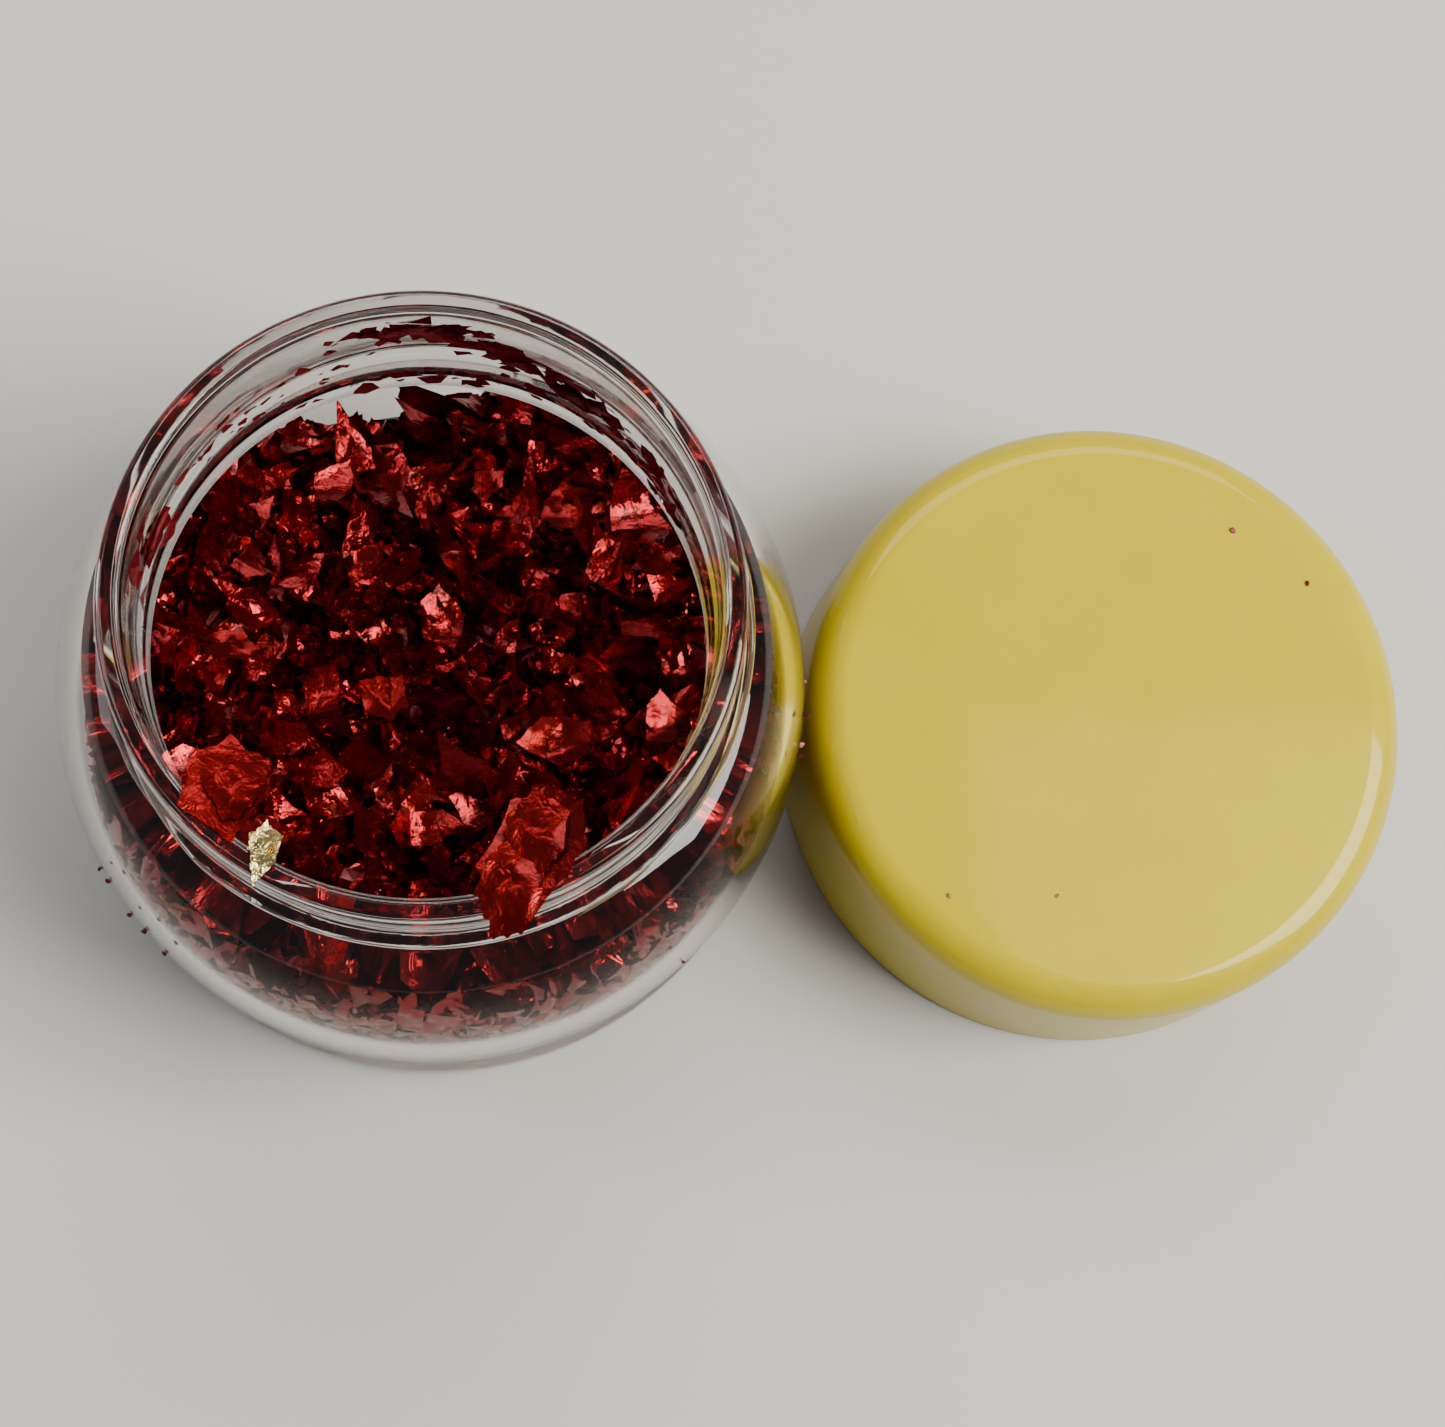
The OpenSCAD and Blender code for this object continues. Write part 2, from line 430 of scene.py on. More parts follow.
@dataclass(frozen=True)
class FoilFinish(Finish):
    """Thin metallised film, crumpled, whose colour changes from flake to flake."""

    deep: Colour
    bright: Colour
    metal: float = 0.87
    coat: float = 0.1
    smooth: float = 0.05
    dull: float = 0.13
    wrinkle: float = 0.4
    scale: float = 600.0

    def make(self) -> bpy.types.Material:
        """Builds the material.

        Returns:
            The material.
        """
        shader, surface, where, material = self.start()
        crumple = shader.group("foil_wrinkle", Vector=where, Scale=self.scale)
        tone = shader.node("ShaderNodeAttribute", attribute_name=TONE).outputs["Fac"]
        worn = shader.sum("MULTIPLY", crumple.outputs["Shade"], 0.35)
        shade = shader.span(shader.sum("ADD", tone, worn), 0.05, 1.25, 0.0, 1.0)
        shader.feed(surface.inputs["Base Color"], shader.mix(shade, self.deep, self.bright))
        shader.feed(surface.inputs["Roughness"],
                    shader.span(crumple.outputs["Glint"], 0.0, 1.0, self.dull, self.smooth))
        surface.inputs["Metallic"].default_value = self.metal
        surface.inputs["Coat Weight"].default_value = self.coat
        surface.inputs["Coat Roughness"].default_value = 0.05
        self.bump(shader, surface, crumple.outputs["Height"], self.wrinkle, 0.0003)
        return material


@dataclass(frozen=True)
class GlassFinish(Finish):
    """Clear wall with a slight waviness."""

    tint: Colour = (0.86, 0.83, 0.81)
    index: float = 1.12
    wave: float = 0.08
    scuff: float = 0.01

    def make(self) -> bpy.types.Material:
        """Builds the material.

        Returns:
            The material.
        """
        shader, surface, where, material = self.start()
        skin = shader.group("moulded_skin", Vector=where, Scale=260.0, Pits=0.0)
        surface.inputs["Base Color"].default_value = (*self.tint, 1.0)
        surface.inputs["Metallic"].default_value = 0.0
        surface.inputs["Transmission Weight"].default_value = 1.0
        surface.inputs["IOR"].default_value = self.index
        shader.feed(surface.inputs["Roughness"], shader.span(skin.outputs["Wear"], 0.0, 1.0, 0.0, self.scuff))
        self.bump(shader, surface, skin.outputs["Height"], self.wave, 0.00006)
        return material


@dataclass(frozen=True)
class CapFinish(Finish):
    """Glossy moulded plastic with a fine orange peel and faint handling marks."""

    colour: Colour
    rubbed: Colour

    def make(self) -> bpy.types.Material:
        """Builds the material.

        Returns:
            The material.
        """
        shader, surface, where, material = self.start()
        skin = shader.group("moulded_skin", Vector=where, Scale=1500.0, Pits=0.5)
        shader.feed(surface.inputs["Base Color"], shader.mix(skin.outputs["Wear"], self.colour, self.rubbed))
        shader.feed(surface.inputs["Roughness"], shader.span(skin.outputs["Wear"], 0.0, 1.0, 0.42, 0.55))
        surface.inputs["Specular IOR Level"].default_value = 0.35
        surface.inputs["Specular Tint"].default_value = (1.0, 0.85, 0.15, 1.0)
        surface.inputs["Coat Weight"].default_value = 0.5
        surface.inputs["Coat Roughness"].default_value = 0.07
        self.bump(shader, surface, skin.outputs["Height"], 0.35, 0.00005)
        return material


@dataclass(frozen=True)
class LinerFinish(Finish):
    """Foamed sheet with open cells."""

    colour: Colour = (0.86, 0.85, 0.80)
    cell: Colour = (0.70, 0.68, 0.62)

    def make(self) -> bpy.types.Material:
        """Builds the material.

        Returns:
            The material.
        """
        shader, surface, where, material = self.start()
        skin = shader.group("moulded_skin", Vector=where, Scale=2600.0, Pits=1.0)
        shader.feed(surface.inputs["Base Color"], shader.mix(skin.outputs["Wear"], self.colour, self.cell))
        surface.inputs["Roughness"].default_value = 0.8
        self.bump(shader, surface, skin.outputs["Height"], 0.6, 0.0001)
        return material


RED_FOIL = FoilFinish("red_foil", deep=(0.16, 0.004, 0.007), bright=(0.28, 0.006, 0.008))
RED_SHEET = FoilFinish("red_foil_sheet", deep=(0.09, 0.002, 0.003), bright=(0.20, 0.004, 0.005), metal=0.9,
                       smooth=0.10, dull=0.24, wrinkle=0.22)
# The red film again in deeper tones: painted shade, for foil that lies in shade or is seen against the light.
SHADED_RED_FOIL = FoilFinish("dark_foil", deep=(0.06, 0.002, 0.005), bright=(0.22, 0.005, 0.012), metal=0.6,
                       smooth=0.2, dull=0.4)
GOLD_FOIL = FoilFinish("gold_foil", deep=(0.62, 0.42, 0.12), bright=(0.90, 0.72, 0.30), metal=1.0, wrinkle=0.8)
CLEAR_GLASS = GlassFinish("clear_glass")
NECK_GLASS = GlassFinish("clear_glass_neck", index=1.5, wave=0.25, scuff=0.07)
YELLOW_CAP = CapFinish("yellow_cap", colour=(0.475, 0.365, 0.001), rubbed=(0.51, 0.395, 0.001))
LINER_FOAM = LinerFinish("liner_foam")


# ---------------------------------------------------------------- jar


@dataclass
class Jar:
    """Clear jar: foot, waist, round body, shoulder and threaded neck. Sizes in millimetres."""

    height: float
    body_r: float
    belly_z: float = 12.4
    wall: float = 0.9
    floor_t: float = 3.0
    corner: float = 3.2
    foot_in: float = 0.1
    foot_h: float = 3.4
    waist_in: float = 1.2
    waist_rise: float = 0.9
    bore_r: float = 12.1
    neck_wall: float = 1.0
    neck_h: float = 8.4
    thread_d: float = 0.7
    pitch: float = 4.2
    turns: float = 1.1
    thread_start: float = math.radians(200)
    thread_half: float = 1.05
    crest_half: float = 0.15
    thread_drop: float = 1.7
    punt: float = 0.35
    punt_in: float = 3.6
    ring_in: float = 2.9
    foot_round: float = 1.0
    foot_arc: float = 60
    lip: float = 0.35
    coarse: float = 1.5
    fine: float = 0.16
    bore_step: float = 0.8
    segments: int = 320

    @classmethod
    def from_frame(cls) -> "Jar":
        """Takes the height and the widest radius from the frame.

        Returns:
            The jar.
        """
        low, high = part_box("jar")
        return cls(height=high.z / MM, body_r=min(high.x - low.x, high.y - low.y) / 2 / MM - SLACK)

    @property
    def root_r(self) -> float:
        """Radius of the neck at the thread's root.

        Returns:
            The radius.
        """
        return self.bore_r + self.neck_wall

    @property
    def shoulder_z(self) -> float:
        """Height at which the shoulder meets the neck.

        Returns:
            The height.
        """
        return self.height - self.neck_h

    @property
    def foot_r(self) -> float:
        """Radius of the foot.

        Returns:
            The radius.
        """
        return self.body_r - self.foot_in

    @property
    def cavity_r(self) -> float:
        """Largest inner radius.

        Returns:
            The radius.
        """
        return self.body_r - self.wall

    def below_belly(self, z: float) -> float:
        """Outer radius between the waist and the belly.

        Args:
            z: the height.

        Returns:
            The radius.
        """
        waist_r, waist_z = self.foot_r - self.waist_in, self.foot_h + self.waist_rise
        return waist_r + (self.body_r - waist_r) * math.sin(math.pi / 2 * (z - waist_z) / (self.belly_z - waist_z))

    @property
    def cavity_top(self) -> float:
        """Height at which the inner shoulder meets the bore.

        Returns:
            The height.
        """
        return self.shoulder_z - self.neck_wall

    def shoulder(self, wide: float, narrow: float, top: float, steps: int = 20) -> Outline:
        """Quarter ellipse from the belly to the neck.

        Args:
            wide, narrow: radius at the belly and at the neck.
            top: height of its upper end.
            steps: number of stretches.

        Returns:
            Its points, from the belly up.
        """
        quarter = [math.pi / 2 * i / steps for i in range(steps + 1)]
        return [(narrow + (wide - narrow) * math.cos(a), self.belly_z + (top - self.belly_z) * math.sin(a))
                for a in quarter]

    def inner_r(self, z: float) -> float:
        """Inner radius of the jar.

        Args:
            z: the height.

        Returns:
            The radius.
        """
        if z > self.cavity_top:
            return self.bore_r
        if z > self.belly_z:
            rise = (z - self.belly_z) / (self.cavity_top - self.belly_z)
            return self.bore_r + (self.cavity_r - self.bore_r) * math.sqrt(max(0.0, 1 - rise * rise))
        turn_z = self.floor_t + self.corner
        if z < turn_z:
            drop = min(turn_z - z, self.corner)
            return self.below_belly(turn_z) - self.wall - self.corner + math.sqrt(self.corner ** 2 - drop ** 2)
        return self.below_belly(z) - self.wall

    def outline(self) -> Outline:
        """Outline of the glass, from the axis underneath, round the outside, over the rim and down inside.

        Returns:
            Radius and height pairs.
        """
        waist_z = self.foot_h + self.waist_rise
        turn, edge_r = self.foot_round, self.foot_r - self.foot_round
        under = [(0.0, self.punt), (self.foot_r - self.punt_in, self.punt), (self.foot_r - self.ring_in, 0.0),
                 (edge_r, 0.0)]
        foot = arc(edge_r, turn, turn, -90, 0) + arc(edge_r, self.foot_h - turn, turn, 0, self.foot_arc)
        rises = [waist_z + (self.belly_z - waist_z) * t / 14 for t in range(14)]
        body = [(self.below_belly(z), z) for z in rises]
        outer = self.shoulder(self.body_r, self.root_r, self.shoulder_z)
        lip, lip_z = self.lip, self.height - self.lip
        rim = arc(self.root_r - lip, lip_z, lip, 0, 90, 6) + arc(self.bore_r + lip, lip_z, lip, 90, 180, 6)
        inner = list(reversed(self.shoulder(self.cavity_r, self.bore_r, self.cavity_top)))
        turn_z = self.floor_t + self.corner
        drops = [self.belly_z + (turn_z - self.belly_z) * t / 10 for t in range(1, 10)]
        turn_r = self.below_belly(turn_z) - self.wall - self.corner
        lower = [(self.inner_r(z), z) for z in drops]
        floor = arc(turn_r, turn_z, self.corner, 0, -90, 14)
        neck = [(self.root_r, self.shoulder_z + 0.05), (self.root_r, lip_z)]
        return (spread(under, self.coarse) + foot[1:] + body + outer + spread(neck, self.fine)[1:] + rim[1:]
                + spread([rim[-1], inner[0]], self.bore_step)[1:] + inner[1:] + lower + floor
                + spread([(turn_r, self.floor_t), (0.0, self.floor_t)], self.coarse)[1:])

    def thread_relief(self, radius: float, height: float, angle: float) -> float:
        """How far the screw ridge stands out of the neck.

        Args:
            radius, height, angle: a place on the lathe's outline.

        Returns:
            The radius to add.
        """
        if abs(radius - self.root_r) > 0.01 or height < self.shoulder_z:
            return 0.0
        top = self.height - self.thread_drop - self.thread_half
        turned = (angle - self.thread_start) % math.tau
        best = 0.0
        for lap in range(2):
            along = turned / math.tau + lap
            if along > self.turns:
                continue
            fade = min(1.0, along * THREAD_RUN_IN, (self.turns - along) * THREAD_RUN_IN)
            off = abs(height - (top - self.pitch * along))
            share = min(1.0, max(0.0, (off - self.crest_half) / (self.thread_half - self.crest_half)))
            best = max(best, self.thread_d * fade * (0.5 + 0.5 * math.cos(math.pi * share)))
        return best

    def build(self, glass: bpy.types.Material, neck: bpy.types.Material) -> bpy.types.Object:
        """Makes the glass and ties it to the frame.

        Args:
            glass: material of the body.
            neck: material of the thicker neck.

        Returns:
            The jar.
        """
        made = lathe("jar_glass", self.outline(), Vector((0, 0, 0)), self.segments, self.thread_relief)
        dress(made, glass, Body.JAR, ["jar"])
        made.data.materials.append(neck)
        for face in made.data.polygons:
            face.material_index = int(face.center.z > self.cavity_top * MM)
        return made


# ---------------------------------------------------------------- cap


@dataclass
class ScrewCap:
    """Yellow screw cap with its liner. Sizes in millimetres."""

    centre_x: float
    height: float
    radius: float
    liner_r: float
    liner_t: float
    top_t: float = 1.5
    wall: float = 1.3
    draft: float = 0.4
    edge_r: float = 1.9
    thread_d: float = 0.7
    pitch: float = 4.2
    turns: float = 0.9
    thread_low: float = 1.4
    thread_half: float = 1.05
    crest_half: float = 0.4
    inner_bevel: float = 0.3
    mouth_bevel: float = 0.2
    rim_round: float = 0.25
    segments: int = 300

    @classmethod
    def from_frame(cls) -> "ScrewCap":
        """Takes the cap's place and overall sizes from the frame.

        Returns:
            The cap.
        """
        low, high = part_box("cap_shell")
        soft_low, soft_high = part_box("cap_liner")
        return cls(centre_x=(low.x + high.x) / 2 / MM, height=high.z / MM,
                   radius=min(high.x - low.x, high.y - low.y) / 2 / MM - SLACK,
                   liner_r=(soft_high.x - soft_low.x) / 2 / MM, liner_t=(soft_high.z - soft_low.z) / MM)

    @property
    def axis(self) -> Vector:
        """Foot of the cap's axis, in metres.

        Returns:
            The point.
        """
        return Vector((self.centre_x, 0, 0)) * MM

    @property
    def inner_r(self) -> float:
        """Inner radius of the cap at the thread's root.

        Returns:
            The radius.
        """
        return self.radius - self.wall

    def outline(self) -> Outline:
        """Outline of the shell, from the axis under its top, down inside, round the edge and over the top.

        Returns:
            Radius and height pairs.
        """
        ceiling = self.height - self.top_t
        top_r = self.radius - self.draft
        bevel, mouth, turn = self.inner_bevel, self.mouth_bevel, self.rim_round
        inside = [(0.0, ceiling), (self.inner_r - bevel, ceiling), (self.inner_r, ceiling - bevel),
                  (self.inner_r, mouth), (self.inner_r + mouth, 0.0), (self.radius - turn, 0.0)]
        low = arc(self.radius - turn, turn, turn, -90, 0, 4)
        edge = arc(top_r - self.edge_r, self.height - self.edge_r, self.edge_r, 0, 90, 18)
        side = spread([low[-1], edge[0]], 0.6)
        crown = spread([edge[-1], (0.0, self.height)], 1.2)
        return spread(inside, 0.2)[:-1] + low + side[1:] + edge[1:] + crown[1:]

    def thread_relief(self, radius: float, height: float, angle: float) -> float:
        """How far the inner screw ridge stands in from the wall.

        Args:
            radius, height, angle: a place on the lathe's outline.

        Returns:
            The radius to add, which is below zero.
        """
        if abs(radius - self.inner_r) > 0.01:
            return 0.0
        along = angle / math.tau
        if along > self.turns:
            return 0.0
        fade = min(1.0, along * THREAD_RUN_IN, (self.turns - along) * THREAD_RUN_IN)
        off = abs(height - (self.thread_low + self.thread_half + self.pitch * along))
        ridge = min(1.0, max(0.0, (self.thread_half - off) / (self.thread_half - self.crest_half)))
        return -self.thread_d * fade * ridge

    def build(self, plastic: bpy.types.Material, foam: bpy.types.Material) -> None:
        """Makes the shell and the liner and ties them to the frame.

        Args:
            plastic: the shell's material.
            foam: the liner's material.
        """
        shell = lathe("cap_yellow_shell", self.outline(), self.axis, self.segments, self.thread_relief)
        dress(shell, plastic, Body.CAP, ["cap_shell"])
        top = self.height - self.top_t - 0.01
        low = top - self.liner_t + 0.01
        round_edge = 0.15
        disc = spread([(0.0, low), (self.liner_r - round_edge, low)], 1.5) \
            + arc(self.liner_r - round_edge, low + round_edge, round_edge, -90, 0, 4)[1:] \
            + arc(self.liner_r - round_edge, top - round_edge, round_edge, 0, 90, 4) \
            + spread([(self.liner_r - round_edge, top), (0.0, top)], 1.5)[1:]
        liner = lathe("cap_foam_liner", disc, self.axis, 128)
        dress(liner, foam, Body.LINER, ["cap_liner"])


# ---------------------------------------------------------------- foil


class FlakeShape(Enum):
    """Kinds of small flake that the heap is made of: number of folds, curl and stretch."""

    FLAT = (0, 0.55, 1.4)
    FOLDED = (1, 0.40, 1.3)
    CREASED = (2, 0.40, 1.6)
    CURLED = (0, 1.20, 1.5)
    SLIVER = (1, 0.60, 2.5)
    CRUMPLED = (4, 0.20, 1.2)


@dataclass
class SmallFlakes:
    """Library of small flake shapes, each about a millimetre across."""

    variants: int = 4
    seed: int = 11

    def build(self) -> bpy.types.Collection:
        """Makes the shapes in a collection of their own, outside the scene.

        Returns:
            The collection.
        """
        rng = random.Random(self.seed)
        store = bpy.data.collections.new("small_flakes")
        for shape in FlakeShape:
            for number in range(self.variants):
                store.objects.link(self.flake(shape, number, rng))
        return store

    def flake(self, shape: FlakeShape, number: int, rng: random.Random) -> bpy.types.Object:
        """Makes one torn, folded flake: a centre, a middle ring and a sharp-cornered edge.

        Args:
            shape: its kind.
            number: which variant it is.
            rng: source of its unevenness.

        Returns:
            The object, linked nowhere.
        """
        folds, curl, stretch = shape.value
        corners = rng.choice((4, 5, 5, 6))
        turns = [math.tau * (i + rng.uniform(-0.3, 0.3)) / corners for i in range(corners)]
        tips = [Vector((math.cos(a) * stretch, math.sin(a))) * rng.uniform(0.32, 0.6) for a in turns]
        rim: list[Vector] = []
        for here, after in zip(tips, tips[1:] + tips[:1]):
            rim += [here, here.lerp(after, rng.uniform(0.4, 0.6)) * rng.uniform(0.86, 1.08)]
        creases = [(rng.uniform(0, math.tau), rng.uniform(-0.15, 0.15), rng.uniform(0.35, 1.1))
                   for _ in range(folds)]
        bend = rng.uniform(0, math.pi)
        verts = [self.lifted(Vector((0.0, 0.0)), creases, bend, curl)]
        for share in (0.5, 1.0):
            verts += [self.lifted(point * share, creases, bend, curl) for point in rim]
        n = len(rim)
        faces = [(0, 1 + i, 1 + (i + 1) % n) for i in range(n)]
        for i in range(n):
            j = (i + 1) % n
            faces += [(1 + i, 1 + n + i, 1 + n + j), (1 + i, 1 + n + j, 1 + j)]
        mesh = bpy.data.meshes.new(f"small_{shape.name.lower()}_{number}")
        mesh.from_pydata([tuple(v) for v in verts], [], faces)
        mesh.polygons.foreach_set("use_smooth", [shape is not FlakeShape.CRUMPLED] * len(faces))
        return bpy.data.objects.new(mesh.name, mesh)

    @staticmethod
    def lifted(point: Vector, creases: Sequence[tuple[float, float, float]], bend: float, curl: float) -> Vector:
        """Place of a flake's point once the flake is folded and curled.

        Args:
            point: its place on the flat flake, in millimetres.
            creases: direction, offset and slope of each fold.
            bend: direction of the curl.
            curl: how strongly it curls.

        Returns:
            Its place, in metres.
        """
        lift = curl * (point.x * math.cos(bend) + point.y * math.sin(bend)) ** 2
        for way, offset, slope in creases:
            lift += slope * max(0.0, point.x * math.cos(way) + point.y * math.sin(way) - offset)
        return Vector((point.x, point.y, lift)) * MM


@dataclass
class ScatterTree:
    """Geometry-nodes tree that strews small flakes over a surface."""

    name: str = "strew_flakes"
    sockets: dict[str, str] = field(default_factory=dict)

    def build(self) -> bpy.types.NodeTree:
        """Makes the tree with its named inputs.

        Returns:
            The tree; self.sockets then holds each input's identifier.
        """
        tree = bpy.data.node_groups.new(self.name, "GeometryNodeTree")
        face = tree.interface
        inputs = [("Surface", "NodeSocketGeometry", None), ("Flakes", "NodeSocketCollection", None),
                  ("Density", "NodeSocketFloat", 1.0), ("Seed", "NodeSocketInt", 1),
                  ("Smallest", "NodeSocketFloat", 0.8), ("Largest", "NodeSocketFloat", 2.0),
                  ("Tilt", "NodeSocketFloat", 0.8), ("Sink", "NodeSocketFloat", 0.0),
                  ("Rise", "NodeSocketFloat", 0.5), ("Foil", "NodeSocketMaterial", None)]
        for label, kind, value in inputs:
            socket = face.new_socket(name=label, in_out="INPUT", socket_type=kind)
            self.sockets[label] = socket.identifier
            if value is not None:
                socket.default_value = value
        face.new_socket(name="Strewn", in_out="OUTPUT", socket_type="NodeSocketGeometry")
        builder = Shader(tree)
        given = builder.node("NodeGroupInput").outputs
        scatter = builder.node("GeometryNodeDistributePointsOnFaces", distribute_method="RANDOM")
        builder.feed(scatter.inputs["Mesh"], given["Surface"])
        builder.feed(scatter.inputs["Density"], given["Density"])
        builder.feed(scatter.inputs["Seed"], given["Seed"])
        lift = self.random(builder, given["Seed"], 3, given["Sink"], given["Rise"])
        offset = builder.node("ShaderNodeVectorMath", operation="SCALE")
        builder.feed(offset.inputs[0], scatter.outputs["Normal"])
        builder.feed(offset.inputs["Scale"], lift)
        place = builder.node("GeometryNodeSetPosition")
        builder.feed(place.inputs["Geometry"], scatter.outputs["Points"])
        builder.feed(place.inputs["Offset"], offset.outputs[0])
        pick = builder.node("GeometryNodeCollectionInfo", transform_space="ORIGINAL")
        builder.feed(pick.inputs["Collection"], given["Flakes"])
        pick.inputs["Separate Children"].default_value = True
        pick.inputs["Reset Children"].default_value = True
        put = builder.node("GeometryNodeInstanceOnPoints")
        builder.feed(put.inputs["Points"], place.outputs[0])
        builder.feed(put.inputs["Instance"], pick.outputs[0])
        put.inputs["Pick Instance"].default_value = True
        builder.feed(put.inputs["Rotation"], self.turned(builder, given, scatter.outputs["Rotation"]))
        builder.feed(put.inputs["Scale"], self.random(builder, given["Seed"], 9, given["Smallest"], given["Largest"]))
        tone = builder.node("GeometryNodeStoreNamedAttribute", data_type="FLOAT", domain="INSTANCE")
        builder.feed(tone.inputs["Geometry"], put.outputs[0])
        tone.inputs["Name"].default_value = TONE
        builder.feed(tone.inputs["Value"], self.random(builder, given["Seed"], 17, 0.0, 1.0))
        real = builder.node("GeometryNodeRealizeInstances")
        builder.feed(real.inputs["Geometry"], tone.outputs[0])
        coat = builder.node("GeometryNodeSetMaterial")
        builder.feed(coat.inputs["Geometry"], real.outputs[0])
        builder.feed(coat.inputs["Material"], given["Foil"])
        builder.feed(builder.node("NodeGroupOutput").inputs["Strewn"], coat.outputs[0])
        return tree

    @staticmethod
    def random(builder: Shader, seed: bpy.types.NodeSocket, shift: int, low: object, high: object) -> \
            bpy.types.NodeSocket:
        """Random number between low and high for each point.

        Args:
            builder: the tree's builder.
            seed: the tree's seed.
            shift: whole number that keeps this draw apart from the others.
            low, high: its limits, as values or sockets.

        Returns:
            The number's socket.
        """
        made = builder.node("FunctionNodeRandomValue", data_type="FLOAT")
        low_socket, high_socket = (s for s in made.inputs if s.enabled and s.name in ("Min", "Max"))
        builder.feed(low_socket, low)
        builder.feed(high_socket, high)
        builder.feed(made.inputs["Seed"], builder.sum("ADD", seed, float(shift)))
        return made.outputs["Value"]

    def turned(self, builder: Shader, given: bpy.types.NodeInputs, upright: bpy.types.NodeSocket) -> \
            bpy.types.NodeSocket:
        """Turns each flake about the surface's normal and tilts it off the surface.

        Args:
            builder: the tree's builder.
            given: the group's inputs.
            upright: rotation that points along the surface's normal.

        Returns:
            The rotation's socket.
        """
        down = builder.sum("MULTIPLY", given["Tilt"], -1.0)
        angles = builder.node("ShaderNodeCombineXYZ")
        builder.feed(angles.inputs[0], self.random(builder, given["Seed"], 21, down, given["Tilt"]))
        builder.feed(angles.inputs[1], self.random(builder, given["Seed"], 22, down, given["Tilt"]))
        builder.feed(angles.inputs[2], self.random(builder, given["Seed"], 23, 0.0, math.tau))
        tilt = builder.node("FunctionNodeEulerToRotation")
        builder.feed(tilt.inputs[0], angles.outputs[0])
        both = builder.node("FunctionNodeRotateRotation", rotation_space="LOCAL")
        builder.feed(both.inputs[0], upright)
        builder.feed(both.inputs[1], tilt.outputs[0])
        return both.outputs[0]


